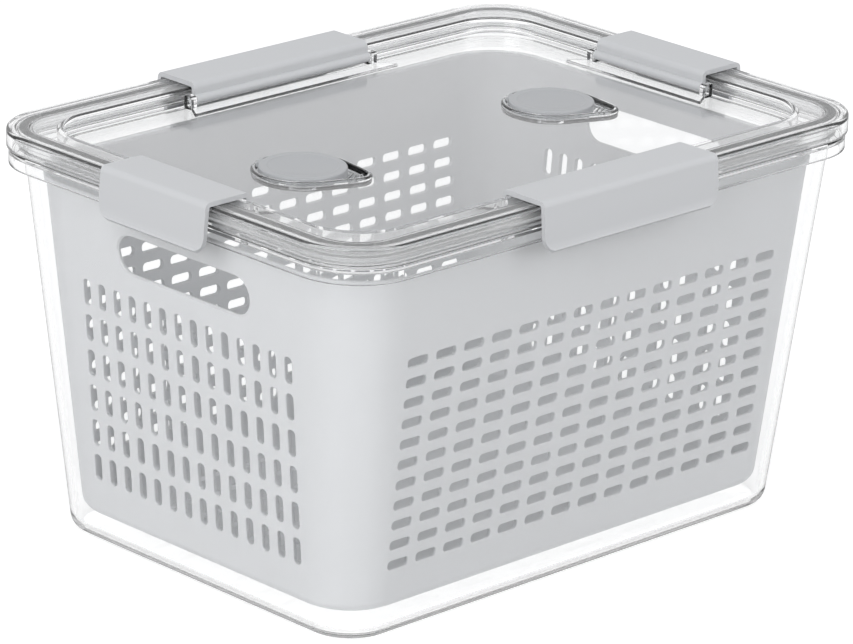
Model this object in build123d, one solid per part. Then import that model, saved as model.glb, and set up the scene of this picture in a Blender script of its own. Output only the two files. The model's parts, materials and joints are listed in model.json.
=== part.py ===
from build123d import *
import os

# A clear food keeper: a tapered bin, a slotted strainer basket that stands in it, and a
# recessed lid with four C-shaped latches and two tilting vent caps.
# Frame: origin at the centre of the base, +X along the long side, +Z up. Millimetres.

# Driving dimensions of the lid and the closed height
lid_length = 320.0
lid_width = 239.0
lid_corner = 30.8
rim_top = 186.0
clear_wall = 2.5
skirt_height = 8.5
border_width = 19.5
recess_depth = 7.5
recess_corner = 24.0
recess_edge_round = 2.2
lid_edge_round = 2.0
seal_rib_depth = 3.0
seal_rib_width = 1.2

# Driving dimensions of the bin
bin_base_length = 273.4
bin_base_width = 192.8
bin_mouth_length = 304.0
bin_mouth_width = 224.0
bin_corner = 22.5
bin_floor = 3.5
bin_edge_round = 6.0
flange_gap = 0.5
flange_height = 7.5
flange_setback = 1.0

# Driving dimensions of the basket
basket_wall = 2.2
basket_floor_level = 11.0
basket_top = 166.5
basket_base_length = 268.2
basket_base_width = 186.1
basket_mouth_length = 294.6
basket_mouth_width = 216.2
basket_corner_low = 24.0
basket_corner_high = 30.0
basket_edge_round = 7.0
foot_radius = 6.0
foot_clearance = 0.3
foot_setback_x = 22.0
foot_setback_y = 16.0

# Slots in the basket: upright on the short sides, level on the long sides
slot_columns = 14
upright_slot_width = 4.4
upright_slot_height = 12.1
upright_pitch = 9.94
upright_rows = 6
upright_first_row = 35.8
upright_row_pitch = 16.63
level_slot_width = 11.5
level_slot_height = 4.2
level_pitch = 16.4
level_rows = 11
level_first_row = 31.9
level_row_pitch = 9.38
floor_slot_length = 24.0
floor_slot_width = 4.0
floor_columns = 7
floor_rows = 9
floor_pitch_x = 34.0
floor_pitch_y = 17.0
handle_length = 84.0
handle_height = 17.5
handle_level = 144.5
cut_reach = 400.0

# Latches
latch_thickness = 2.2
long_latch_length = 106.0
short_latch_length = 67.0
latch_lift = 0.3
latch_outer_gap = 1.0
latch_drop = 20.5
latch_bend = 4.6
flap_lean = 1.4
latch_lip = 2.2
lip_fall = 1.6
latch_corner = 8.0
bead_depth = 1.2
bead_levels = (6.2, 2.9, 2.1, 0.8)
bead_margin = 4.0
ledge_length = 8.0
ledge_height = 1.2
ledge_flare = 5.0
ledge_overhang = 4.0
barrel_radius = 2.2
hinge_pin_radius = 1.2
hinge_play = 0.05
hinge_pin_length = 5.0
knuckle_length = 3.6
knuckle_round = 1.6

# Seal between lid and bin
seal_width = 4.6
seal_setback = 5.3
seal_gap = 0.2

# Vents
vent_offset = 76.0
vent_angle = -60.0
cap_radius = 20.0
cap_rise = 2.2
cap_thickness = 4.5
cap_dish = 1.1
cap_dish_radius = 17.0
cap_edge_round = 1.6
cap_tip_radius = 4.0
cap_tip_reach = 18.6
socket_radius = 20.7
socket_wall = 1.9
socket_rise = 1.0
socket_floor = 1.5
socket_tip_reach = 26.0
socket_tip_radius = 3.0
vent_hinge_reach = 20.4
vent_pin_radius = 1.0
vent_barrel_radius = 1.7
vent_pin_length = 3.5
vent_pin_place = 6.2
vent_barrel_length = 13.0
vent_bore_length = 8.0
vent_bore_place = 7.2
heel_outer_width = 24.0
heel_inner_width = 15.6
notch_rib_reaches = (24.0, 26.2)
notch_rib_width = 0.9
notch_rib_length = 7.0
notch_rib_height = 2.4
air_hole_radius = 6.0

# Levels and places worked out from the dimensions above
recess_floor = rim_top - recess_depth
panel_underside = recess_floor - clear_wall
skirt_bottom = rim_top - skirt_height
flange_top = skirt_bottom - flange_gap
flange_bottom = flange_top - flange_height
border_underside = rim_top - clear_wall
hinge_setback = border_width + 0.3 + barrel_radius
hinge_level = recess_floor + 0.3 + barrel_radius
plate_underside = rim_top + latch_lift
cap_top = recess_floor + cap_rise
cap_underside = cap_top - cap_thickness
socket_floor_top = cap_underside - 1.2
vent_hinge_level = cap_underside + vent_barrel_radius + 0.1


def rounded_block(length, width, corner, low, high):
    """Upright block with a rounded-rectangle plan."""
    return extrude(Plane.XY.offset(low) * RectangleRounded(length, width, corner), high - low)


def inset_block(inset, low, high):
    """Block that follows the lid's outline, set in by the given distance."""
    return rounded_block(
        lid_length - 2 * inset, lid_width - 2 * inset, lid_corner - inset, low, high
    )


def tapered_tub(low_size, high_size, corners, low, high, edge_round):
    """Solid tub with sloping walls and a rounded bottom edge."""
    sections = [
        Plane.XY.offset(low) * RectangleRounded(*low_size, corners[0]),
        Plane.XY.offset(high) * RectangleRounded(*high_size, corners[1]),
    ]
    tub = Solid(loft(sections, ruled=True).wrapped)
    bottom_edges = tub.edges().group_by(Axis.Z)[0]
    return fillet(bottom_edges, edge_round)


def outer_bin():
    outside = tapered_tub(
        (bin_base_length, bin_base_width),
        (bin_mouth_length, bin_mouth_width),
        (bin_corner, bin_corner),
        0,
        flange_top,
        bin_edge_round,
    )
    slope = (bin_mouth_length - bin_base_length) / 2 / flange_top
    inner_growth = 2 * slope * bin_floor
    inside = tapered_tub(
        (
            bin_base_length + inner_growth - 2 * clear_wall,
            bin_base_width + inner_growth - 2 * clear_wall,
        ),
        (bin_mouth_length - 2 * clear_wall, bin_mouth_width - 2 * clear_wall),
        (bin_corner - clear_wall, bin_corner - clear_wall),
        bin_floor,
        flange_top,
        bin_edge_round - 2,
    )
    flange = inset_block(flange_setback, flange_bottom, flange_top)
    flange -= inset_block(flange_setback + 2.2, flange_bottom, flange_top - clear_wall)
    return outside + flange - inside


def basket_outline(inset, low):
    """The basket's outside, or with an inset its hollow, starting at the given level."""
    height = basket_top - basket_floor_level
    share = (low - basket_floor_level) / height
    low_length = basket_base_length + share * (basket_mouth_length - basket_base_length)
    low_width = basket_base_width + share * (basket_mouth_width - basket_base_width)
    return tapered_tub(
        (low_length - 2 * inset, low_width - 2 * inset),
        (basket_mouth_length - 2 * inset, basket_mouth_width - 2 * inset),
        (basket_corner_low - inset, basket_corner_high - inset),
        low,
        basket_top,
        basket_edge_round - inset,
    )


def upright_slots():
    """Bars that pass through both short sides, one for each pair of upright slots."""
    bar = Box(cut_reach, upright_slot_width, upright_slot_height)
    first_column = -(slot_columns - 1) / 2 * upright_pitch
    return [
        Pos(0, first_column + column * upright_pitch, upright_first_row + row * upright_row_pitch) * bar
        for column in range(slot_columns)
        for row in range(upright_rows)
    ]


def level_slots():
    """Bars that pass through both long sides, one for each pair of level slots."""
    bar = Box(level_slot_width, cut_reach, level_slot_height)
    first_column = -(slot_columns - 1) / 2 * level_pitch
    return [
        Pos(first_column + column * level_pitch, 0, level_first_row + row * level_row_pitch) * bar
        for column in range(slot_columns)
        for row in range(level_rows)
    ]


def floor_slots():
    bar = Box(floor_slot_length, floor_slot_width, 3 * basket_wall)
    return [
        Pos(column * floor_pitch_x, row * floor_pitch_y, basket_floor_level) * bar
        for column in range(-(floor_columns // 2), floor_columns // 2 + 1)
        for row in range(-(floor_rows // 2), floor_rows // 2 + 1)
        if abs(column) < floor_columns // 2 or abs(row) < floor_rows // 2
    ]


def handle_openings():
    stadium = Plane.YZ * SlotOverall(handle_length, handle_height)
    return Pos(0, 0, handle_level) * extrude(stadium, cut_reach / 2, both=True)


def strainer_basket():
    shell = basket_outline(0, basket_floor_level)
    shell -= basket_outline(basket_wall, basket_floor_level + basket_wall)
    shell -= handle_openings()
    shell = shell.cut(*upright_slots())
    shell = shell.cut(*level_slots())
    shell = shell.cut(*floor_slots())
    foot_bottom = bin_floor + foot_clearance
    foot_height = basket_floor_level + basket_wall / 2 - foot_bottom
    foot = Cone(foot_radius - 1, foot_radius, foot_height, align=(Align.CENTER, Align.CENTER, Align.MIN))
    foot_x = basket_base_length / 2 - foot_setback_x
    foot_y = basket_base_width / 2 - foot_setback_y
    for x in (-foot_x, foot_x):
        for y in (-foot_y, foot_y):
            shell += Pos(x, y, foot_bottom) * foot
    return shell


def teardrop(radius, tip_radius, tip_reach):
    """Plan outline: a round body drawn out to a small round tip along +X."""
    tip = Pos(tip_reach, 0) * Circle(tip_radius)
    return make_hull(Circle(radius).edges() + tip.edges())


def vent_places():
    """Where each vent sits on the lid, by name."""
    return {
        "left": Pos(-vent_offset, 0, 0) * Rot(0, 0, vent_angle),
        "right": Pos(vent_offset, 0, 0) * Rot(0, 0, vent_angle),
    }


def slab(outline, low, high):
    """Flat outline made into an upright slab between two levels."""
    return Pos(0, 0, low) * extrude(outline, high - low)


def vent_socket_body():
    """Cup that hangs in the lid's panel, in the vent's own frame with its tip along +X."""
    outline = teardrop(socket_radius + socket_wall, socket_tip_radius + socket_wall, socket_tip_reach)
    body = slab(outline, socket_floor_top - socket_floor, recess_floor + socket_rise)
    heel = Pos(-vent_hinge_reach, 0) * Rectangle(2 * vent_barrel_radius + 5, heel_outer_width)
    return body + slab(heel, socket_floor_top - socket_floor, recess_floor + socket_rise)


def vent_socket_hollow():
    outline = teardrop(socket_radius, socket_tip_radius, socket_tip_reach)
    hollow = slab(outline, socket_floor_top, rim_top)
    heel = Pos(-vent_hinge_reach, 0) * Rectangle(2 * vent_barrel_radius + 1.2, heel_inner_width)
    hollow += slab(heel, socket_floor_top, rim_top)
    return hollow + slab(Circle(air_hole_radius), socket_floor_top - 2 * socket_floor, rim_top)


def vent_pins():
    """Two stub pins in the heel of the socket that the cap's barrel turns on."""
    pin = Cylinder(vent_pin_radius, vent_pin_length, rotation=(90, 0, 0))
    return [Pos(-vent_hinge_reach, side * vent_pin_place, vent_hinge_level) * pin for side in (-1, 1)]


def notch_ribs():
    """Low ribs across the finger notch at the socket's tip."""
    rib = Box(notch_rib_width, notch_rib_length, notch_rib_height)
    middle = socket_floor_top + notch_rib_height / 2 - 0.1
    return [Pos(reach, 0, middle) * rib for reach in notch_rib_reaches]


def latch_places():
    """Each latch's name, its length, and the place of its hinge with outward along +X."""
    side_x = lid_length / 2 - hinge_setback
    side_y = lid_width / 2 - hinge_setback
    return {
        "latch_right": (short_latch_length, Pos(side_x, 0, hinge_level)),
        "latch_left": (short_latch_length, Pos(-side_x, 0, hinge_level) * Rot(0, 0, 180)),
        "latch_back": (long_latch_length, Pos(0, side_y, hinge_level) * Rot(0, 0, 90)),
        "latch_front": (long_latch_length, Pos(0, -side_y, hinge_level) * Rot(0, 0, -90)),
    }


def latch_mounting(length):
    """Knuckles with stub pins, and the ledge in front of them, as the lid carries them."""
    wall_reach = hinge_setback - border_width + 1
    drop = recess_floor - hinge_level
    knuckle_face = Plane.XZ * (
        Pos((wall_reach - barrel_radius) / 2, (drop + barrel_radius) / 2 - 0.25)
        * Rectangle(wall_reach + barrel_radius, barrel_radius - drop + 0.5)
    )
    knuckle = extrude(knuckle_face, knuckle_length)
    inner_edges = knuckle.edges().filter_by(Axis.Y).group_by(Axis.X)[0]
    knuckle = fillet(inner_edges.sort_by(Axis.Z)[-1], knuckle_round)
    pin = Cylinder(hinge_pin_radius, hinge_pin_length + 1, rotation=(90, 0, 0))
    pieces = []
    start = length / 2 + 0.4
    for side in (-1, 1):
        middle = side * (start + knuckle_length / 2)
        pieces.append(Pos(0, middle + knuckle_length / 2, 0) * knuckle)
        pieces.append(Pos(0, side * (start + 0.5 - hinge_pin_length / 2), 0) * pin)
    ledge_back = -barrel_radius - 0.6
    ledge_front = ledge_back - ledge_length
    back_half = length / 2 + ledge_overhang
    front_half = back_half + ledge_flare
    ledge = make_face(
        Polyline(
            (ledge_back, back_half),
            (ledge_front, front_half),
            (ledge_front, -front_half),
            (ledge_back, -back_half),
            close=True,
        )
    )
    pieces.append(slab(ledge, drop - 0.5, drop + ledge_height))
    return pieces


def recess_rim(shell, tray_length, tray_width):
    """Edges round the top of the recess."""
    margin = 0.1
    edges = shell.edges().filter_by_position(Axis.Z, rim_top - margin, rim_top + margin)
    return [
        edge
        for edge in edges
        if edge.bounding_box().max.X < tray_length / 2 + margin
        and edge.bounding_box().max.Y < tray_width / 2 + margin
        and edge.bounding_box().min.X > -tray_length / 2 - margin
        and edge.bounding_box().min.Y > -tray_width / 2 - margin
    ]


def lid():
    shell = inset_block(0, skirt_bottom, rim_top)
    shell = fillet(shell.edges().group_by(Axis.Z)[-1], lid_edge_round)
    shell -= inset_block(clear_wall, skirt_bottom, border_underside)
    tray_length = lid_length - 2 * border_width
    tray_width = lid_width - 2 * border_width
    shell += rounded_block(
        tray_length + 2 * clear_wall,
        tray_width + 2 * clear_wall,
        recess_corner + clear_wall,
        panel_underside,
        border_underside + 0.5,
    )
    rib_bottom = border_underside - seal_rib_depth
    for inset in (seal_setback - seal_rib_width - 0.2, seal_setback + seal_width + 0.2):
        rib = inset_block(inset, rib_bottom, border_underside + 0.5)
        shell += rib - inset_block(inset + seal_rib_width, rib_bottom, border_underside + 0.5)
    shell -= rounded_block(tray_length, tray_width, recess_corner, recess_floor, rim_top + 1)
    shell = fillet(recess_rim(shell, tray_length, tray_width), recess_edge_round)
    for place in vent_places().values():
        shell += place * vent_socket_body()
    for place in vent_places().values():
        shell -= place * vent_socket_hollow()
        for piece in vent_pins() + notch_ribs():
            shell += place * piece
    for length, place in latch_places().values():
        for piece in latch_mounting(length):
            shell += place * piece
    return shell


def lid_seal():
    low = flange_top + seal_gap
    ring = inset_block(seal_setback, low, border_underside)
    return ring - inset_block(seal_setback + seal_width, low, border_underside)


def latch(length):
    """C-shaped latch about its hinge axis: a barrel and leg, a plate, a flap with a lip."""
    middle = latch_thickness / 2
    leg_reach = barrel_radius - middle
    plate_level = plate_underside + middle - hinge_level
    flap_reach = hinge_setback + latch_outer_gap + middle
    flap_level = plate_level - latch_drop
    spine = FilletPolyline(
        (leg_reach, 0),
        (leg_reach, plate_level),
        (flap_reach, plate_level),
        (flap_reach + flap_lean, flap_level),
        (flap_reach + flap_lean + latch_lip, flap_level - lip_fall),
        radius=[latch_bend - middle, latch_bend - middle, lip_fall],
    )
    section = Plane.XZ * trace(spine, latch_thickness)
    body = extrude(section, length / 2, both=True)
    body += Cylinder(barrel_radius, length, rotation=(90, 0, 0))
    bead_reach = flap_reach - middle - bead_depth
    bead_top, bead_upper, bead_lower, bead_bottom = [flap_level + level for level in bead_levels]
    bead_face = Plane.XZ * make_face(
        Polyline(
            (flap_reach + 0.4, bead_top),
            (bead_reach, bead_upper),
            (bead_reach, bead_lower),
            (flap_reach + 1.0, bead_bottom),
            close=True,
        )
    )
    body += extrude(bead_face, length / 2 - latch_corner - bead_margin, both=True)
    bore_length = 2 * (hinge_pin_length + 0.5)
    bore = Cylinder(hinge_pin_radius + hinge_play, bore_length, rotation=(90, 0, 0))
    cut_width = 2 * latch_corner
    cut_middle = flap_level - lip_fall - middle + latch_corner / 2
    for side in (-1, 1):
        body -= Pos(0, side * length / 2, 0) * bore
        round_off = Cylinder(latch_corner, cut_width + 4, rotation=(0, 90, 0))
        block = Box(cut_width, latch_corner, latch_corner)
        corner_cut = block - Pos(0, -side * latch_corner / 2, latch_corner / 2) * round_off
        body -= Pos(flap_reach + 2, side * (length - latch_corner) / 2, cut_middle) * corner_cut
    return body


def vent_cap():
    """Dished cap with a short tongue, and the barrel at its heel."""
    outline = teardrop(cap_radius, cap_tip_radius, cap_tip_reach)
    cap = slab(outline, cap_underside, cap_top)
    cap = fillet(cap.edges().group_by(Axis.Z)[-1], cap_edge_round)
    sphere_radius = (cap_dish_radius**2 + cap_dish**2) / (2 * cap_dish)
    cap -= Pos(0, 0, cap_top + sphere_radius - cap_dish) * Sphere(sphere_radius)
    barrel = Cylinder(vent_barrel_radius, vent_barrel_length, rotation=(90, 0, 0))
    cap += Pos(-vent_hinge_reach, 0, vent_hinge_level) * barrel
    bore = Cylinder(vent_pin_radius + hinge_play, vent_bore_length, rotation=(90, 0, 0))
    for side in (-1, 1):
        cap -= Pos(-vent_hinge_reach, side * vent_bore_place, vent_hinge_level) * bore
    return cap


def vent_seal():
    """Soft plug under the cap that closes the air hole."""
    pad = slab(Circle(air_hole_radius + 2.5), socket_floor_top + 0.15, cap_underside)
    return pad + slab(Circle(air_hole_radius - 1.0), socket_floor_top - socket_floor, cap_underside)


def write(solid, name):
    export_step(solid, f"parts/{name}.step")


os.makedirs("parts", exist_ok=True)
write(outer_bin(), "outer_bin")
write(strainer_basket(), "strainer_basket")
write(lid(), "lid")
write(lid_seal(), "lid_seal")
for name, (length, place) in latch_places().items():
    write(place * latch(length), name)
for name, place in vent_places().items():
    write(place * vent_cap(), f"vent_cap_{name}")
    write(place * vent_seal(), f"vent_seal_{name}")
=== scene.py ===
import json
import math

import bmesh
import bpy
from mathutils import Matrix, Vector


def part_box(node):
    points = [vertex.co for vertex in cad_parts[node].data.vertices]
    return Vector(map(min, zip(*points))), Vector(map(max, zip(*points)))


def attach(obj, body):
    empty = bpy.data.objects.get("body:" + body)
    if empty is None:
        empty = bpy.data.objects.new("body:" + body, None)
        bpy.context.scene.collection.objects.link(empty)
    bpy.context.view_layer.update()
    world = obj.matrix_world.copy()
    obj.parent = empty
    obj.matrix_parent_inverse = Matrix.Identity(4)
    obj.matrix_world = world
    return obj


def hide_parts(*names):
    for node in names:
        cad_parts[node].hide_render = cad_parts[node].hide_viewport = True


# A clear food keeper: a tapered bin, a slotted strainer basket that stands in it, and a
# recessed lid with four C-shaped latches and two tilting vent caps.
# Every piece is modelled where the CAD frame has it and stands in for a CAD node.

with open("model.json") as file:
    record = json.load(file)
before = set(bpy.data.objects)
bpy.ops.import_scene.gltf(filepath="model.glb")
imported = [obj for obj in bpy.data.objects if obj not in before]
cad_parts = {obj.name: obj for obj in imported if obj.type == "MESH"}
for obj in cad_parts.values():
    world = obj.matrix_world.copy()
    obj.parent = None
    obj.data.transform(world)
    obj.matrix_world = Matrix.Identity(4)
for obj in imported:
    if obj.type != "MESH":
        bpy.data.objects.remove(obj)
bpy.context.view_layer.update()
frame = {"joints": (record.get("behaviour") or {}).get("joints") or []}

MM = 0.001

# Sizes of the clear lid, in millimetres like all sizes below
CLEAR_WALL = 2.5
LID_CORNER = 30.8
LID_EDGE_ROUND = 1.4
BORDER_WIDTH = 19.5
RECESS_DEPTH = 8.7
RECESS_CORNER = 24.0
RECESS_EDGE_ROUND = 1.3
RECESS_BASE_ROUND = 1.2
SKIRT_HEIGHT = 8.5
SEAL_SETBACK = 5.3
SEAL_WIDTH = 4.6
SEAL_RIB_WIDTH = 1.2
SEAL_RIB_DEPTH = 3.0
SEAL_RIB_GAP = 0.2

# Sizes of the clear bin, lengths as (along X, along Y)
BIN_BASE = (273.4, 192.8)
BIN_MOUTH = (304.0, 224.0)
BIN_CORNER = 22.5
BIN_FLOOR = 3.5
BIN_EDGE_ROUND = 6.0
BIN_INNER_ROUND = 4.0
FLANGE_HEIGHT = 7.5
FLANGE_SETBACK = 1.0
FLANGE_LIP = 2.2

# Sizes of the basket
BASKET_WALL = 2.2
BASKET_FLOOR = 11.0
BASKET_BASE = (266.4, 184.3)
BASKET_MOUTH_INSET = 0.9
BASKET_CORNER_LOW = 24.0
BASKET_CORNER_HIGH = 30.0
BASKET_EDGE_ROUND = 5.0
BASKET_RIM_ROUND = 0.8
FOOT_RADIUS = 5.0
FOOT_TAPER = 1.0
FOOT_SETBACK = (30.0, 26.0)
FOOT_CLEARANCE = 0.3
FOOT_OVERLAP = 1.0

# Openings in the basket, each as (width, height, corner radius)
UPRIGHT_SLOT = (4.4, 12.1, 1.9)
LEVEL_SLOT = (11.5, 4.2, 1.7)
FLOOR_SLOT = (24.0, 4.0, 1.9)
HANDLE = (84.0, 17.5, 8.7)
HANDLE_LEVEL = 144.5
SLOT_COLUMNS = 14
UPRIGHT_PITCH = 9.94
UPRIGHT_ROWS = 6
UPRIGHT_FIRST_ROW = 35.8
UPRIGHT_ROW_PITCH = 16.63
LEVEL_PITCH = 16.4
LEVEL_ROWS = 11
LEVEL_FIRST_ROW = 31.9
LEVEL_ROW_PITCH = 9.38
FLOOR_COLUMNS = 7
FLOOR_ROWS = 9
FLOOR_PITCH = (34.0, 17.0)
SLOT_EDGE = 0.35
SLOT_FLARE = 0.5
HANDLE_EDGE = 0.7
CUT_PAST_OUTSIDE = 0.8
CUT_PAST_INSIDE = 1.0
CUT_PAST_FLOOR = 3.0

# Sizes of the latches and of the lid's mounts for them
LATCH_THICKNESS = 2.2
LATCH_BEND = 3.0
LATCH_OUTER_GAP = 1.0
LATCH_LIFT = 0.3
LATCH_DROP = 20.5
LATCH_CORNER = 8.0
LATCH_CORNER_DROP = 0.6
LATCH_TURNS = {"latch_right": 0, "latch_back": 90, "latch_left": 180, "latch_front": 270}
LEG_START = 1.0
FLAP_LEAN = 1.4
FLAP_ANGLE = -4
FLAP_FOOT = (1.1, 2.5)
FLAP_STEP = 1.2
LIP_RADIUS = 3.0
LIP_RISE = 1.4
LIP_ARC = (184, 226)
BARREL_RADIUS = 2.2
KNUCKLE_LENGTH = 3.6
KNUCKLE_ROUND = 1.6
KNUCKLE_GAP = 0.4
KNUCKLE_OVERLAP = 1.0
LEDGE_LENGTH = 8.0
LEDGE_HEIGHT = 1.2
LEDGE_FLARE = 5.0
LEDGE_GAP = 0.6

# Sizes of the vents. The tip is (radius, reach); the rim is (inset, drop) pairs.
VENT_ANGLE = -60.0
VENT_HINGE_REACH = 19.5
CAP_RADIUS = 19.4
CAP_RISE = 1.8
CAP_THICKNESS = 4.0
CAP_EDGE_ROUND = 0.7
CAP_FOOT_CHAMFER = 0.4
CAP_DISH = 1.7
CAP_DISH_RADIUS = 15.4
CAP_DISH_STEP = (0.3, 0.25)
CAP_DISH_RINGS = 13
CAP_BARREL_RADIUS = 1.2
CAP_BARREL_HALF = 3.2
CAP_BARREL_CHAMFER = 0.3
SOCKET_RADIUS = 20.6
SOCKET_WALL = 1.8
SOCKET_RISE = 0.9
SOCKET_FLOOR = 1.5
SOCKET_CLEARANCE = 1.2
SOCKET_TIP = (7.0, 22.0)
SOCKET_RIM = ((0.0, 0.9), (0.25, 0.3), (0.9, 0.0))
NOTCH_RIB_REACHES = (21.6, 23.6, 25.6)
NOTCH_RIB_WIDTH = 0.8
NOTCH_RIB_HALF = 4.4
NOTCH_RIB_DROP = 0.4
AIR_HOLE_RADIUS = 6.0
AIR_HOLE_PAST = 9.0
PLUG_STEM_RADIUS = 5.0
PLUG_STEM_CHAMFER = (0.4, 0.5)
PLUG_PAD_RADIUS = 8.5
PLUG_PAD_CHAMFER = (0.3, 0.5)
PLUG_GAP = 0.15

# How far an added solid reaches into the one that carries it
EMBED = 0.5

# Finish of the edges: bevel widths, and angles in degrees above which an edge stays sharp
BIN_BEVEL = 0.45
LID_BEVEL = 0.3
SEAL_BEVEL = 0.4
LATCH_BEVEL = 0.5
SHARP_ANGLE = 35.0
BASKET_SHARP_ANGLE = 40.0

# How finely round shapes are divided
CORNER_STEPS = 16
TEARDROP_STEPS = 72
CAP_STEPS = 96
CAP_BARREL_STEPS = 18
LATCH_BARREL_STEPS = 24

# Colours as (red, green, blue)
BASKET_GREY = (0.68, 0.69, 0.705)
LATCH_GREY = (0.62, 0.63, 0.645)
# The vent caps' grey is darker than the latches' grey: painted shade for the dim look of their dished tops
VENT_GREY_WITH_PAINTED_SHADE = (0.46, 0.47, 0.485)
CLEAR_TINT = (0.994, 0.996, 0.997)
SEAL_TINT = (0.97, 0.975, 0.98)
FLOOR_GREY = (0.6, 0.6, 0.6)
SKY_LOW = (0.95, 0.95, 0.96)
SKY_HIGH = (0.80, 0.81, 0.82)
WHITE = (1.0, 1.0, 1.0)

# Light, floor and camera: metres, watts and degrees
SKY_STRENGTH = 0.82
SKY_RAMP = (0.45, 0.95)
FLOOR_GLOW = 0.60
FLOOR_HALF = 3.0
KEY_POWER = 21
FILL_POWER = 11
CAMERA_AZIMUTH = -44.45
CAMERA_ELEVATION = 19.466
CAMERA_ROLL = 1.592
CAMERA_DISTANCE = 2.33557
CAMERA_TARGET = (0, 0, 0.09027)
CAMERA_SENSOR = 36.0
FOCAL_PIXELS = 5236.0
PHOTO_WIDTH = 853

# Levels and half sizes read from the frame
lid_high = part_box("lid")[1] / MM
bin_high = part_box("outer_bin")[1] / MM
basket_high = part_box("strainer_basket")[1] / MM
LID_HALF = (lid_high.x, lid_high.y)
RIM_TOP = lid_high.z
FLANGE_TOP = bin_high.z
BASKET_TOP = basket_high.z
BASKET_MOUTH = (2 * (basket_high.x - BASKET_MOUTH_INSET), 2 * (basket_high.y - BASKET_MOUTH_INSET))
SKIRT_BOTTOM = RIM_TOP - SKIRT_HEIGHT
BORDER_UNDERSIDE = RIM_TOP - CLEAR_WALL
RECESS_FLOOR = RIM_TOP - RECESS_DEPTH
PANEL_UNDERSIDE = RECESS_FLOOR - CLEAR_WALL
CAP_TOP = RECESS_FLOOR + CAP_RISE
CAP_UNDERSIDE = CAP_TOP - CAP_THICKNESS
SOCKET_FLOOR_TOP = CAP_UNDERSIDE - SOCKET_CLEARANCE
SOCKET_UNDERSIDE = SOCKET_FLOOR_TOP - SOCKET_FLOOR

# Places of the hinges, by the body that turns on each
hinges = {
    joint["child"]: Vector(joint["pos_m"]) / MM
    for joint in frame["joints"]
    if joint["type"] == "hinge"
}
HINGE_LEVEL = hinges["latch_right"].z
HINGE_SETBACK = LID_HALF[0] - hinges["latch_right"].x
VENT_HINGE_LEVEL = hinges["vent_left"].z


# Loops and solids


def round_corners(reach_x, reach_y, radius, steps):
    """Points (x, y) round a rounded rectangle, from the middles of its corners and their radius."""
    points = []
    for turn, (sign_x, sign_y) in enumerate(((1, 1), (-1, 1), (-1, -1), (1, -1))):
        for step in range(steps + 1):
            angle = math.radians(90 * (turn + step / steps))
            points.append((
                sign_x * reach_x + radius * math.cos(angle),
                sign_y * reach_y + radius * math.sin(angle),
            ))
    return points


def rounded_loop(half_x, half_y, corner, level):
    """Level loop round a rounded rectangle, with the same count of points for every size."""
    return [(x, y, level) for x, y in round_corners(half_x - corner, half_y - corner, corner, CORNER_STEPS)]


def rounded_outline(width, height, radius, grow=0.0, steps=5):
    """Flat outline of a rounded rectangle, made larger all round by the given amount."""
    return round_corners(width / 2 - radius, height / 2 - radius, radius + grow, steps)


def teardrop_loop(radius, tip_radius, tip_reach, level):
    """Loop round a circle drawn out to a small round tip along +X."""
    points = []
    for step in range(TEARDROP_STEPS):
        angle = 2 * math.pi * (step + 0.5) / TEARDROP_STEPS
        along = math.cos(angle)
        across = math.sin(angle)
        if tip_reach * along + tip_radius > radius:
            points.append((tip_reach + tip_radius * along, tip_radius * across, level))
        else:
            points.append((radius * along, radius * across, level))
    return points


def circle_loop(radius, level, steps=48):
    return [
        (radius * math.cos(2 * math.pi * step / steps), radius * math.sin(2 * math.pi * step / steps), level)
        for step in range(steps)
    ]


def quarter(radius, steps=6):
    """(rise, inset) pairs round an edge: from the lowest point, set in, to the side, not set in."""
    pairs = []
    for step in range(steps + 1):
        angle = math.radians(90 * step / steps)
        pairs.append((radius * (1 - math.cos(angle)), radius * (1 - math.sin(angle))))
    return pairs


def arc_points(centre, radius, start, end, steps=7):
    points = []
    for step in range(steps + 1):
        angle = math.radians(start + (end - start) * step / steps)
        points.append((centre[0] + radius * math.cos(angle), centre[1] + radius * math.sin(angle)))
    return points


def skin(name, loops, ring=False):
    """Mesh object that joins loops of equal count. A ring closes on itself, else both ends are capped."""
    mesh = bmesh.new()
    rows = [[mesh.verts.new(Vector(point) * MM) for point in loop] for loop in loops]
    pairs = list(zip(rows, rows[1:]))
    if ring:
        pairs.append((rows[-1], rows[0]))
    for low, high in pairs:
        count = len(low)
        for index in range(count):
            following = (index + 1) % count
            mesh.faces.new((low[index], low[following], high[following], high[index]))
    if not ring:
        mesh.faces.new(rows[0])
        mesh.faces.new(rows[-1])
    bmesh.ops.remove_doubles(mesh, verts=mesh.verts, dist=1e-7)
    bmesh.ops.recalc_face_normals(mesh, faces=mesh.faces)
    return to_object(name, mesh)


def prism(outline, low, high):
    """Upright solid between two levels from a flat outline of (x, y) points."""
    return skin("prism", [[(x, y, level) for x, y in outline] for level in (low, high)])


def barrel(profile, steps, centre=(0.0, 0.0)):
    """Round bar along Y about a centre in X and Z, from (radius, y) pairs."""
    loops = []
    for radius, y in profile:
        loops.append([(centre[0] + x, y, centre[1] + z) for x, z, _ in circle_loop(radius, 0.0, steps)])
    return skin("barrel", loops)


def to_object(name, mesh):
    data = bpy.data.meshes.new(name)
    mesh.to_mesh(data)
    mesh.free()
    made = bpy.data.objects.new(name, data)
    bpy.context.scene.collection.objects.link(made)
    return made


def joined(name, pieces):
    """One mesh object made of several that don't touch."""
    mesh = bmesh.new()
    for piece in pieces:
        mesh.from_mesh(piece.data)
        bpy.data.objects.remove(piece)
    return to_object(name, mesh)


def placed(made, transform):
    """Moves the points of a piece, so that its object stays at the origin."""
    made.data.transform(transform)
    return made


def settle(made):
    """Replaces the object's mesh with what its modifiers make of it."""
    graph = bpy.context.evaluated_depsgraph_get()
    result = bpy.data.meshes.new_from_object(made.evaluated_get(graph))
    made.modifiers.clear()
    made.data = result
    return made


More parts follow.
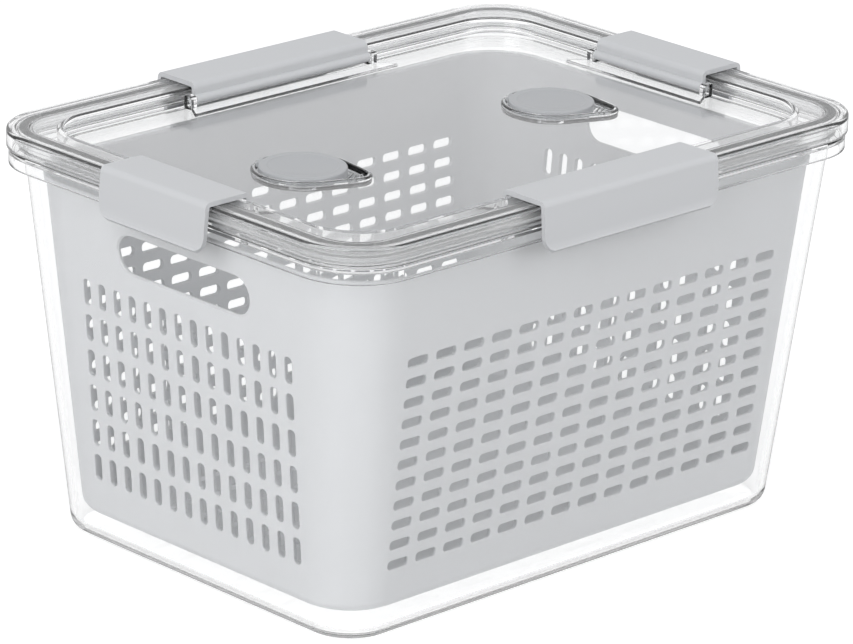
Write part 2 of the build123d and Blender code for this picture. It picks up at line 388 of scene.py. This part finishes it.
def combine(base, tool, operation):
    """Adds a solid to another or cuts it away."""
    modifier = base.modifiers.new("combine", "BOOLEAN")
    modifier.operation = operation
    modifier.solver = "EXACT"
    modifier.object = tool
    settle(base)
    bpy.data.objects.remove(tool)
    return base


def soften(made, width, segments=2, angle=SHARP_ANGLE):
    """Bevels sharp edges where a width is given, and shades the curved faces smooth."""
    if width:
        bevel = made.modifiers.new("edges", "BEVEL")
        bevel.width = width * MM
        bevel.segments = segments
        bevel.limit_method = "ANGLE"
        bevel.angle_limit = math.radians(angle)
        bevel.harden_normals = True
        bevel.miter_outer = "MITER_ARC"
    made.data.shade_smooth()
    made.data.set_sharp_from_angle(angle=math.radians(angle))
    normals = made.modifiers.new("normals", "WEIGHTED_NORMAL")
    normals.weight = 100
    normals.keep_sharp = True
    return settle(made)


# Outer bin


def bin_loop(inset, level):
    """Loop on the bin's sloping wall, set in by the given distance."""
    share = level / FLANGE_TOP
    half_x = (BIN_BASE[0] + share * (BIN_MOUTH[0] - BIN_BASE[0])) / 2 - inset
    half_y = (BIN_BASE[1] + share * (BIN_MOUTH[1] - BIN_BASE[1])) / 2 - inset
    return rounded_loop(half_x, half_y, BIN_CORNER - inset, level)


def lid_loop(inset, level):
    """Loop that follows the lid's outline, set in by the given distance."""
    return rounded_loop(LID_HALF[0] - inset, LID_HALF[1] - inset, LID_CORNER - inset, level)


def make_bin():
    """The bin's section, carried round: outside, flange, inside."""
    loops = [bin_loop(inset, rise) for rise, inset in quarter(BIN_EDGE_ROUND)]
    loops.append(bin_loop(0, FLANGE_TOP - CLEAR_WALL))
    loops.append(lid_loop(FLANGE_SETBACK + FLANGE_LIP, FLANGE_TOP - CLEAR_WALL))
    loops.append(lid_loop(FLANGE_SETBACK + FLANGE_LIP, FLANGE_TOP - FLANGE_HEIGHT))
    loops.append(lid_loop(FLANGE_SETBACK, FLANGE_TOP - FLANGE_HEIGHT))
    loops.append(lid_loop(FLANGE_SETBACK, FLANGE_TOP))
    loops.append(bin_loop(CLEAR_WALL, FLANGE_TOP))
    for rise, inset in reversed(quarter(BIN_INNER_ROUND)):
        loops.append(bin_loop(CLEAR_WALL + inset, BIN_FLOOR + rise))
    return soften(skin("outer_bin_shell", loops), BIN_BEVEL)


# Strainer basket


def basket_share(level):
    """How far up the basket a level is, from 0 at its base to 1 at its rim."""
    return (level - BASKET_FLOOR) / (BASKET_TOP - BASKET_FLOOR)


def wall_reach(axis, level):
    """Distance from the middle to the basket's outer face at a level, along X (0) or Y (1)."""
    return (BASKET_BASE[axis] + basket_share(level) * (BASKET_MOUTH[axis] - BASKET_BASE[axis])) / 2


def basket_loop(inset, level):
    """Loop on the basket's sloping wall, set in by the given distance."""
    corner = BASKET_CORNER_LOW + basket_share(level) * (BASKET_CORNER_HIGH - BASKET_CORNER_LOW) - inset
    return rounded_loop(wall_reach(0, level) - inset, wall_reach(1, level) - inset, corner, level)


def basket_tub():
    """The basket's section, carried round: outside, rim, inside."""
    inner_round = BASKET_EDGE_ROUND - BASKET_WALL
    floor_top = BASKET_FLOOR + BASKET_WALL
    loops = [basket_loop(inset, BASKET_FLOOR + rise) for rise, inset in quarter(BASKET_EDGE_ROUND)]
    for drop, inset in reversed(quarter(BASKET_RIM_ROUND, 3)):
        loops.append(basket_loop(inset, BASKET_TOP - drop))
    for drop, inset in quarter(BASKET_RIM_ROUND, 3):
        loops.append(basket_loop(BASKET_WALL - inset, BASKET_TOP - drop))
    for rise, inset in reversed(quarter(inner_round)):
        loops.append(basket_loop(BASKET_WALL + inset, floor_top + rise))
    return skin("basket_shell", loops)


def wall_cutter(axis, size, across, level, edge=SLOT_EDGE, flare=SLOT_FLARE):
    """Bar through both walls that face along an axis. It opens outward at both faces of each wall."""
    profile = [
        (-CUT_PAST_OUTSIDE, edge + CUT_PAST_OUTSIDE),
        (edge, 0.0),
        (BASKET_WALL + CUT_PAST_INSIDE, flare),
    ]
    loops = []
    for side, steps in ((-1, profile), (1, reversed(profile))):
        for depth, grow in steps:
            loop = []
            for along, up in rounded_outline(*size, grow):
                reach = side * (wall_reach(axis, level + up) - depth)
                sideways = across + along
                loop.append((reach, sideways, level + up) if axis == 0 else (sideways, reach, level + up))
            loops.append(loop)
    return skin("cutter", loops)


def slot_grid(axis, size, pitch, rows, first_row, row_pitch):
    bars = []
    for column in range(SLOT_COLUMNS):
        across = (column - (SLOT_COLUMNS - 1) / 2) * pitch
        for row in range(rows):
            bars.append(wall_cutter(axis, size, across, first_row + row * row_pitch))
    return joined("slots", bars)


def floor_slots():
    """Bars for the slots in the floor, with none at the floor's corners."""
    last_column = FLOOR_COLUMNS // 2
    last_row = FLOOR_ROWS // 2
    low = BASKET_FLOOR - CUT_PAST_FLOOR
    high = BASKET_FLOOR + 2 * BASKET_WALL
    bars = []
    for column in range(-last_column, last_column + 1):
        for row in range(-last_row, last_row + 1):
            if abs(column) == last_column and abs(row) == last_row:
                continue
            bar = prism(rounded_outline(*FLOOR_SLOT), low, high)
            shift = (column * FLOOR_PITCH[0] * MM, row * FLOOR_PITCH[1] * MM, 0)
            bars.append(placed(bar, Matrix.Translation(shift)))
    return joined("floor_slots", bars)


def basket_feet():
    """Four round feet that stand just clear of the bin's floor."""
    profile = (
        (FOOT_RADIUS - FOOT_TAPER, BIN_FLOOR + FOOT_CLEARANCE),
        (FOOT_RADIUS, BASKET_FLOOR + FOOT_OVERLAP),
    )
    feet = []
    for side_x in (-1, 1):
        for side_y in (-1, 1):
            centre_x = side_x * (BASKET_BASE[0] / 2 - FOOT_SETBACK[0])
            centre_y = side_y * (BASKET_BASE[1] / 2 - FOOT_SETBACK[1])
            loops = []
            for radius, level in profile:
                loops.append([(centre_x + x, centre_y + y, z) for x, y, z in circle_loop(radius, level)])
            feet.append(skin("foot", loops))
    return joined("feet", feet)


def make_basket():
    basket = combine(basket_tub(), basket_feet(), "UNION")
    upright = slot_grid(0, UPRIGHT_SLOT, UPRIGHT_PITCH, UPRIGHT_ROWS, UPRIGHT_FIRST_ROW, UPRIGHT_ROW_PITCH)
    level = slot_grid(1, LEVEL_SLOT, LEVEL_PITCH, LEVEL_ROWS, LEVEL_FIRST_ROW, LEVEL_ROW_PITCH)
    handle = wall_cutter(0, HANDLE, 0, HANDLE_LEVEL, HANDLE_EDGE, HANDLE_EDGE)
    for tool in (handle, upright, level, floor_slots()):
        combine(basket, tool, "DIFFERENCE")
    return soften(basket, 0.0, angle=BASKET_SHARP_ANGLE)


# Lid


def vent_transform(side):
    """Puts a vent's own frame, with its tip along +X, where its hinge axis is on the lid."""
    hinge = hinges["vent_" + side]
    angle = math.radians(VENT_ANGLE)
    centre = Vector((
        hinge.x + VENT_HINGE_REACH * math.cos(angle),
        hinge.y + VENT_HINGE_REACH * math.sin(angle),
        0,
    ))
    return Matrix.Translation(centre * MM) @ Matrix.Rotation(angle, 4, "Z")


def socket_body():
    """Drop-shaped block that a vent's hollow is cut from, with a rounded rim."""
    tip_radius, tip_reach = SOCKET_TIP
    high = RECESS_FLOOR + SOCKET_RISE
    levels = [(0.0, SOCKET_UNDERSIDE)] + [(inset, high - drop) for inset, drop in SOCKET_RIM]
    loops = []
    for inset, level in levels:
        wall = SOCKET_WALL - inset
        loops.append(teardrop_loop(SOCKET_RADIUS + wall, tip_radius + wall, tip_reach, level))
    return skin("socket", loops)


def socket_hollow():
    """Room for a vent cap, with the air hole under it."""
    levels = (SOCKET_FLOOR_TOP, RIM_TOP)
    body = skin("hollow", [teardrop_loop(SOCKET_RADIUS, *SOCKET_TIP, level) for level in levels])
    levels = (PANEL_UNDERSIDE - AIR_HOLE_PAST, RIM_TOP)
    hole = skin("hole", [circle_loop(AIR_HOLE_RADIUS, level) for level in levels])
    return combine(body, hole, "UNION")


def notch_ribs():
    """Ribs that stand across the finger notch between the cap and the socket's tip."""
    ribs = []
    for reach in NOTCH_RIB_REACHES:
        near = reach - NOTCH_RIB_WIDTH / 2
        far = reach + NOTCH_RIB_WIDTH / 2
        outline = [
            (near, -NOTCH_RIB_HALF),
            (far, -NOTCH_RIB_HALF),
            (far, NOTCH_RIB_HALF),
            (near, NOTCH_RIB_HALF),
        ]
        ribs.append(prism(outline, SOCKET_FLOOR_TOP - EMBED, RECESS_FLOOR - NOTCH_RIB_DROP))
    return joined("notch_ribs", ribs)


def latch_places():
    """Each latch's half length and the transform of its hinge, with outward along +X."""
    places = {}
    for name, turn in LATCH_TURNS.items():
        size = (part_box(name)[1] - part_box(name)[0]) / MM
        half_length = (size.y if turn in (0, 180) else size.x) / 2
        place = Matrix.Translation(hinges[name] * MM)
        places[name] = (half_length, place @ Matrix.Rotation(math.radians(turn), 4, "Z"))
    return places


def hinge_mounts(half_length):
    """The lid's ledge and knuckles for one latch, in the hinge's own frame."""
    drop = RECESS_FLOOR - HINGE_LEVEL
    foot = drop - EMBED
    wall = HINGE_SETBACK - BORDER_WIDTH + KNUCKLE_OVERLAP
    section = [(wall, foot), (wall, BARREL_RADIUS), (KNUCKLE_ROUND - BARREL_RADIUS, BARREL_RADIUS)]
    for fall, inset in quarter(KNUCKLE_ROUND, 4)[1:]:
        section.append((inset - BARREL_RADIUS, BARREL_RADIUS - fall))
    section.append((-BARREL_RADIUS, foot))
    pieces = []
    for side in (-1, 1):
        start = side * (half_length + KNUCKLE_GAP)
        end = side * (half_length + KNUCKLE_GAP + KNUCKLE_LENGTH)
        pieces.append(skin("knuckle", [[(x, y, z) for x, z in section] for y in (start, end)]))
    back = -BARREL_RADIUS - LEDGE_GAP
    front = back - LEDGE_LENGTH
    back_half = half_length + KNUCKLE_LENGTH + KNUCKLE_GAP
    front_half = back_half + LEDGE_FLARE
    outline = [(back, back_half), (front, front_half), (front, -front_half), (back, -back_half)]
    pieces.append(prism(outline, foot, drop + LEDGE_HEIGHT))
    return joined("hinge_mounts", pieces)


def tray_loop(out, level):
    """Loop that follows the recess, set out by the given distance."""
    half_x = LID_HALF[0] - BORDER_WIDTH + out
    half_y = LID_HALF[1] - BORDER_WIDTH + out
    return rounded_loop(half_x, half_y, RECESS_CORNER + out, level)


def lid_shell():
    """Section carried round the lid: panel, recess wall, border, skirt, seal ribs, underside."""
    loops = [tray_loop(-inset, RECESS_FLOOR + rise) for rise, inset in quarter(RECESS_BASE_ROUND)]
    for drop, inset in reversed(quarter(RECESS_EDGE_ROUND)):
        loops.append(tray_loop(inset, RIM_TOP - drop))
    for drop, inset in quarter(LID_EDGE_ROUND):
        loops.append(lid_loop(inset, RIM_TOP - drop))
    loops.append(lid_loop(0, SKIRT_BOTTOM))
    loops.append(lid_loop(CLEAR_WALL, SKIRT_BOTTOM))
    loops.append(lid_loop(CLEAR_WALL, BORDER_UNDERSIDE))
    rib_bottom = BORDER_UNDERSIDE - SEAL_RIB_DEPTH
    outer_rib = SEAL_SETBACK - SEAL_RIB_WIDTH - SEAL_RIB_GAP
    inner_rib = SEAL_SETBACK + SEAL_WIDTH + SEAL_RIB_GAP
    for inset in (outer_rib, inner_rib):
        loops.append(lid_loop(inset, BORDER_UNDERSIDE))
        loops.append(lid_loop(inset, rib_bottom))
        loops.append(lid_loop(inset + SEAL_RIB_WIDTH, rib_bottom))
        loops.append(lid_loop(inset + SEAL_RIB_WIDTH, BORDER_UNDERSIDE))
    loops.append(tray_loop(CLEAR_WALL, BORDER_UNDERSIDE))
    loops.append(tray_loop(CLEAR_WALL, PANEL_UNDERSIDE))
    return skin("lid_shell", loops)


def make_lid():
    lid = lid_shell()
    for half_length, transform in latch_places().values():
        combine(lid, placed(hinge_mounts(half_length), transform), "UNION")
    for side in ("left", "right"):
        transform = vent_transform(side)
        combine(lid, placed(socket_body(), transform), "UNION")
        combine(lid, placed(socket_hollow(), transform), "DIFFERENCE")
        combine(lid, placed(notch_ribs(), transform), "UNION")
    return soften(lid, LID_BEVEL)


def make_seal():
    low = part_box("lid_seal")[0].z / MM
    far = SEAL_SETBACK + SEAL_WIDTH
    loops = [
        lid_loop(SEAL_SETBACK, low),
        lid_loop(SEAL_SETBACK, BORDER_UNDERSIDE),
        lid_loop(far, BORDER_UNDERSIDE),
        lid_loop(far, low),
    ]
    return soften(skin("lid_seal_ring", loops, ring=True), SEAL_BEVEL)


# Latches


def latch_spine():
    """Middle line (x, z) of the latch's section, from the barrel over the plate to the lip."""
    middle = LATCH_THICKNESS / 2
    leg = BARREL_RADIUS - middle
    plate = RIM_TOP + LATCH_LIFT + middle - HINGE_LEVEL
    flap = HINGE_SETBACK + LATCH_OUTER_GAP + middle
    bend = LATCH_BEND - middle
    bottom = plate - LATCH_DROP
    lip_centre = (flap + FLAP_LEAN + LIP_RADIUS, bottom + LIP_RISE)
    points = [(leg, 0.0), (leg, LEG_START)]
    points += arc_points((leg + bend, plate - bend), bend, 180, 90)
    points += arc_points((flap - bend, plate - bend), bend, 90, FLAP_ANGLE)
    points.append((flap + FLAP_LEAN / 2, plate - LATCH_DROP / 2))
    points.append((flap + FLAP_FOOT[0], bottom + FLAP_FOOT[1]))
    points += arc_points(lip_centre, LIP_RADIUS, *LIP_ARC, 5)[1:]
    return points


def offset_line(points, distance):
    """Line parallel to a flat line of points, to its left."""
    result = []
    for index, point in enumerate(points):
        before = Vector(points[max(index - 1, 0)])
        after = Vector(points[min(index + 1, len(points) - 1)])
        along = (after - before).normalized()
        result.append((point[0] - along.y * distance, point[1] + along.x * distance))
    return result


def latch_half_length(full, level, bottom):
    """Half length of the latch at a level, less near the round lower corners."""
    rise = level - bottom
    if rise >= LATCH_CORNER:
        return full
    depth = LATCH_CORNER - max(rise, 0.0)
    return full - LATCH_CORNER + math.sqrt(max(LATCH_CORNER**2 - depth**2, 0.0))


def refined(points):
    """The same line with the flap's straight runs below the hinge cut into short steps."""
    result = [points[0]]
    for start, end in zip(points, points[1:]):
        count = 1
        if end[1] < 0 and end[0] > HINGE_SETBACK / 2:
            count = max(1, math.ceil(math.dist(start, end) / FLAP_STEP))
        for step in range(1, count + 1):
            share = step / count
            result.append((start[0] + share * (end[0] - start[0]), start[1] + share * (end[1] - start[1])))
    return result


def make_latch(name, half_length, transform):
    """C-shaped latch: its section is carried along the latch and ends in round lower corners."""
    spine = refined(latch_spine())
    outer = offset_line(spine, LATCH_THICKNESS / 2)
    inner = offset_line(spine, -LATCH_THICKNESS / 2)
    bottom = min(point[1] for point in spine) - LATCH_CORNER_DROP
    loops = []
    for middle, outside, inside in zip(spine, outer, inner):
        half = half_length
        if middle[0] > HINGE_SETBACK / 2:
            half = latch_half_length(half_length, middle[1], bottom)
        loops.append([
            (outside[0], -half, outside[1]),
            (outside[0], half, outside[1]),
            (inside[0], half, inside[1]),
            (inside[0], -half, inside[1]),
        ])
    latch = skin(name + "_body", loops)
    profile = ((BARREL_RADIUS, -half_length), (BARREL_RADIUS, half_length))
    combine(latch, barrel(profile, LATCH_BARREL_STEPS), "UNION")
    return soften(placed(latch, transform), LATCH_BEVEL, 3)


# Vents


def make_cap(name, side):
    """Round cap with a flat rim and a dished middle, and a barrel at its heel."""
    chamfer = CAP_FOOT_CHAMFER
    step_out, step_down = CAP_DISH_STEP
    profile = [(CAP_RADIUS - chamfer, CAP_UNDERSIDE), (CAP_RADIUS, CAP_UNDERSIDE + chamfer)]
    profile += [(CAP_RADIUS - inset, CAP_TOP - drop) for drop, inset in reversed(quarter(CAP_EDGE_ROUND, 4))]
    profile.append((CAP_DISH_RADIUS + step_out, CAP_TOP))
    for ring in range(CAP_DISH_RINGS):
        share = 1 - ring / (CAP_DISH_RINGS - 0.5)
        profile.append((CAP_DISH_RADIUS * share, CAP_TOP - step_down - CAP_DISH * (1 - share**2)))
    cap = skin(name + "_body", [circle_loop(radius, level, CAP_STEPS) for radius, level in profile])
    narrow = CAP_BARREL_RADIUS - CAP_BARREL_CHAMFER
    shoulder = CAP_BARREL_HALF - CAP_BARREL_CHAMFER
    heel = (
        (narrow, -CAP_BARREL_HALF),
        (CAP_BARREL_RADIUS, -shoulder),
        (CAP_BARREL_RADIUS, shoulder),
        (narrow, CAP_BARREL_HALF),
    )
    combine(cap, barrel(heel, CAP_BARREL_STEPS, (-VENT_HINGE_REACH, VENT_HINGE_LEVEL)), "UNION")
    return soften(placed(cap, vent_transform(side)), 0.0)


def make_plug(name, side):
    """Soft plug: a stem in the air hole and a pad between the socket's floor and the cap."""
    profile = [
        (PLUG_STEM_RADIUS - PLUG_STEM_CHAMFER[0], SOCKET_UNDERSIDE),
        (PLUG_STEM_RADIUS, SOCKET_UNDERSIDE + PLUG_STEM_CHAMFER[1]),
        (PLUG_STEM_RADIUS, SOCKET_FLOOR_TOP + PLUG_GAP),
        (PLUG_PAD_RADIUS - PLUG_PAD_CHAMFER[0], SOCKET_FLOOR_TOP + PLUG_GAP),
        (PLUG_PAD_RADIUS, SOCKET_FLOOR_TOP + PLUG_PAD_CHAMFER[1]),
        (PLUG_PAD_RADIUS, CAP_UNDERSIDE),
    ]
    plug = skin(name + "_body", [circle_loop(radius, level) for radius, level in profile])
    return soften(placed(plug, vent_transform(side)), 0.0)


# Materials


def new_material(name):
    material = bpy.data.materials.new(name)
    material.use_nodes = True
    nodes = material.node_tree.nodes
    return material, nodes, material.node_tree.links, nodes["Principled BSDF"]


def add_bump(nodes, links, shader, scale, strength, distance, detail=3.0):
    """Fine unevenness of the moulded surface. Returns the noise, which roughness can follow too."""
    place = nodes.new("ShaderNodeTexCoord")
    noise = nodes.new("ShaderNodeTexNoise")
    noise.inputs["Scale"].default_value = scale
    noise.inputs["Detail"].default_value = detail
    bump = nodes.new("ShaderNodeBump")
    bump.inputs["Strength"].default_value = strength
    bump.inputs["Distance"].default_value = distance
    links.new(place.outputs["Object"], noise.inputs["Vector"])
    links.new(noise.outputs["Fac"], bump.inputs["Height"])
    links.new(bump.outputs["Normal"], shader.inputs["Normal"])
    return noise


def vary_roughness(nodes, links, shader, noise, low, high):
    spread = nodes.new("ShaderNodeMapRange")
    spread.inputs["To Min"].default_value = low
    spread.inputs["To Max"].default_value = high
    links.new(noise.outputs["Fac"], spread.inputs["Value"])
    links.new(spread.outputs["Result"], shader.inputs["Roughness"])


def satin_plastic(name, colour, smoothest, roughest):
    """Opaque satin plastic with a fine grain."""
    material, nodes, links, shader = new_material(name)
    shader.inputs["Base Color"].default_value = (*colour, 1)
    shader.inputs["IOR"].default_value = 1.47
    noise = add_bump(nodes, links, shader, scale=900, strength=0.08, distance=0.0002)
    vary_roughness(nodes, links, shader, noise, smoothest, roughest)
    return material


def clear_plastic():
    """Clear moulded plastic. Shadow rays pass it, so what it holds stays lit."""
    material, nodes, links, shader = new_material("clear_plastic_look")
    shader.inputs["Base Color"].default_value = (*CLEAR_TINT, 1)
    shader.inputs["Transmission Weight"].default_value = 1.0
    shader.inputs["IOR"].default_value = 1.5
    noise = add_bump(nodes, links, shader, scale=9, strength=0.006, distance=0.0005, detail=1.0)
    vary_roughness(nodes, links, shader, noise, 0.0, 0.02)
    rays = nodes.new("ShaderNodeLightPath")
    solid = nodes.new("ShaderNodeMapRange")
    solid.inputs["To Min"].default_value = 1.0
    solid.inputs["To Max"].default_value = 0.06
    links.new(rays.outputs["Is Shadow Ray"], solid.inputs["Value"])
    links.new(solid.outputs["Result"], shader.inputs["Alpha"])
    return material


def silicone():
    """Soft, nearly clear rubber."""
    material, nodes, links, shader = new_material("silicone_look")
    shader.inputs["Base Color"].default_value = (*SEAL_TINT, 1)
    shader.inputs["Transmission Weight"].default_value = 0.85
    shader.inputs["IOR"].default_value = 1.41
    noise = add_bump(nodes, links, shader, scale=500, strength=0.1, distance=0.0002)
    vary_roughness(nodes, links, shader, noise, 0.16, 0.28)
    return material


def dress(piece, material, body, node):
    """Gives a piece its material and its body, in place of a CAD node."""
    piece.data.materials.clear()
    piece.data.materials.append(material)
    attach(piece, body)
    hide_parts(node)


# Camera, light and floor


def add_camera():
    """Camera at the photograph's place: a long lens from the front left and above, rolled slightly."""
    azimuth = math.radians(CAMERA_AZIMUTH)
    elevation = math.radians(CAMERA_ELEVATION)
    roll = math.radians(CAMERA_ROLL)
    back = Vector((
        math.sin(azimuth) * math.cos(elevation),
        -math.cos(azimuth) * math.cos(elevation),
        math.sin(elevation),
    ))
    right = back.cross(Vector((0, 0, 1))).normalized() * -1
    up = back.cross(right)
    rolled_right = math.cos(roll) * right + math.sin(roll) * up
    rolled_up = math.cos(roll) * up - math.sin(roll) * right
    data = bpy.data.cameras.new("camera")
    data.sensor_width = CAMERA_SENSOR
    data.lens = CAMERA_SENSOR * FOCAL_PIXELS / PHOTO_WIDTH
    data.clip_end = 50
    camera = bpy.data.objects.new("camera", data)
    turn = Matrix((rolled_right, rolled_up, back)).transposed().to_4x4()
    camera.matrix_world = Matrix.Translation(Vector(CAMERA_TARGET) + back * CAMERA_DISTANCE) @ turn
    bpy.context.scene.collection.objects.link(camera)
    bpy.context.scene.camera = camera


def add_area(name, place, size, power, target=(0, 0, 0.09)):
    """Rectangular soft lamp that faces the object."""
    data = bpy.data.lights.new(name, "AREA")
    data.shape = "RECTANGLE"
    data.size, data.size_y = size
    data.energy = power
    lamp = bpy.data.objects.new(name, data)
    direction = Vector(target) - Vector(place)
    lamp.rotation_euler = direction.to_track_quat("-Z", "Y").to_euler()
    lamp.location = place
    bpy.context.scene.collection.objects.link(lamp)


def seen_rays(nodes, links):
    """1 for rays that come straight from the camera or through clear plastic, 0 for the others."""
    rays = nodes.new("ShaderNodeLightPath")
    either = nodes.new("ShaderNodeMath")
    either.operation = "MAXIMUM"
    links.new(rays.outputs["Is Camera Ray"], either.inputs[0])
    links.new(rays.outputs["Is Transmission Ray"], either.inputs[1])
    return either.outputs["Value"]


def add_world():
    """Nearly white at eye level and a little greyer overhead. The camera sees one even tone."""
    world = bpy.data.worlds.new("studio")
    world.use_nodes = True
    bpy.context.scene.world = world
    nodes = world.node_tree.nodes
    links = world.node_tree.links
    background = nodes["Background"]
    place = nodes.new("ShaderNodeTexCoord")
    split = nodes.new("ShaderNodeSeparateXYZ")
    ramp = nodes.new("ShaderNodeValToRGB")
    for element, position, colour in zip(ramp.color_ramp.elements, SKY_RAMP, (SKY_LOW, SKY_HIGH)):
        element.position = position
        element.color = (*colour, 1)
    links.new(place.outputs["Generated"], split.inputs["Vector"])
    links.new(split.outputs["Z"], ramp.inputs["Fac"])
    white = nodes.new("ShaderNodeMix")
    white.data_type = "RGBA"
    rays = nodes.new("ShaderNodeLightPath")
    links.new(rays.outputs["Is Camera Ray"], white.inputs["Factor"])
    links.new(ramp.outputs["Color"], white.inputs["A"])
    white.inputs["B"].default_value = (*WHITE, 1)
    links.new(white.outputs["Result"], background.inputs["Color"])
    background.inputs["Strength"].default_value = SKY_STRENGTH


def add_floor():
    """Pale floor that glows for rays that see it, so that it renders white and keeps the shadow."""
    mesh = bmesh.new()
    signs = ((-1, -1), (1, -1), (1, 1), (-1, 1))
    corners = [mesh.verts.new((x * FLOOR_HALF, y * FLOOR_HALF, 0)) for x, y in signs]
    mesh.faces.new(corners)
    floor = to_object("floor", mesh)
    material, nodes, links, shader = new_material("floor_look")
    shader.inputs["Base Color"].default_value = (*FLOOR_GREY, 1)
    shader.inputs["Roughness"].default_value = 0.5
    shader.inputs["Specular IOR Level"].default_value = 0.2
    shader.inputs["Emission Color"].default_value = (*WHITE, 1)
    glow = nodes.new("ShaderNodeMath")
    glow.operation = "MULTIPLY"
    glow.inputs[1].default_value = FLOOR_GLOW
    links.new(seen_rays(nodes, links), glow.inputs[0])
    links.new(glow.outputs["Value"], shader.inputs["Emission Strength"])
    floor.data.materials.append(material)


clear = clear_plastic()
basket_grey = satin_plastic("basket_grey_look", BASKET_GREY, 0.42, 0.52)
latch_grey = satin_plastic("latch_grey_look", LATCH_GREY, 0.36, 0.46)
# The vent caps get a darker grey than the latches, which paints in the shade of their dished tops
vent_grey = satin_plastic("vent_grey_look", VENT_GREY_WITH_PAINTED_SHADE, 0.30, 0.40)
soft = silicone()

dress(make_bin(), clear, "bin", "outer_bin")
dress(make_basket(), basket_grey, "basket", "strainer_basket")
dress(make_lid(), clear, "lid", "lid")
dress(make_seal(), soft, "lid", "lid_seal")
for latch_name, (half_length, transform) in latch_places().items():
    dress(make_latch(latch_name, half_length, transform), latch_grey, latch_name, latch_name)
for side in ("left", "right"):
    body = "vent_" + side
    dress(make_cap("vent_cap_" + side, side), vent_grey, body, "vent_cap_" + side)
    dress(make_plug("vent_seal_" + side, side), soft, body, "vent_seal_" + side)

add_camera()
add_world()
add_floor()
add_area("key_left", (-2.2, -0.6, 1.3), (1.6, 1.6), KEY_POWER)
add_area("fill_front", (0.6, -2.4, 1.2), (1.8, 1.4), FILL_POWER)

scene = bpy.context.scene
scene.view_settings.view_transform = "Standard"
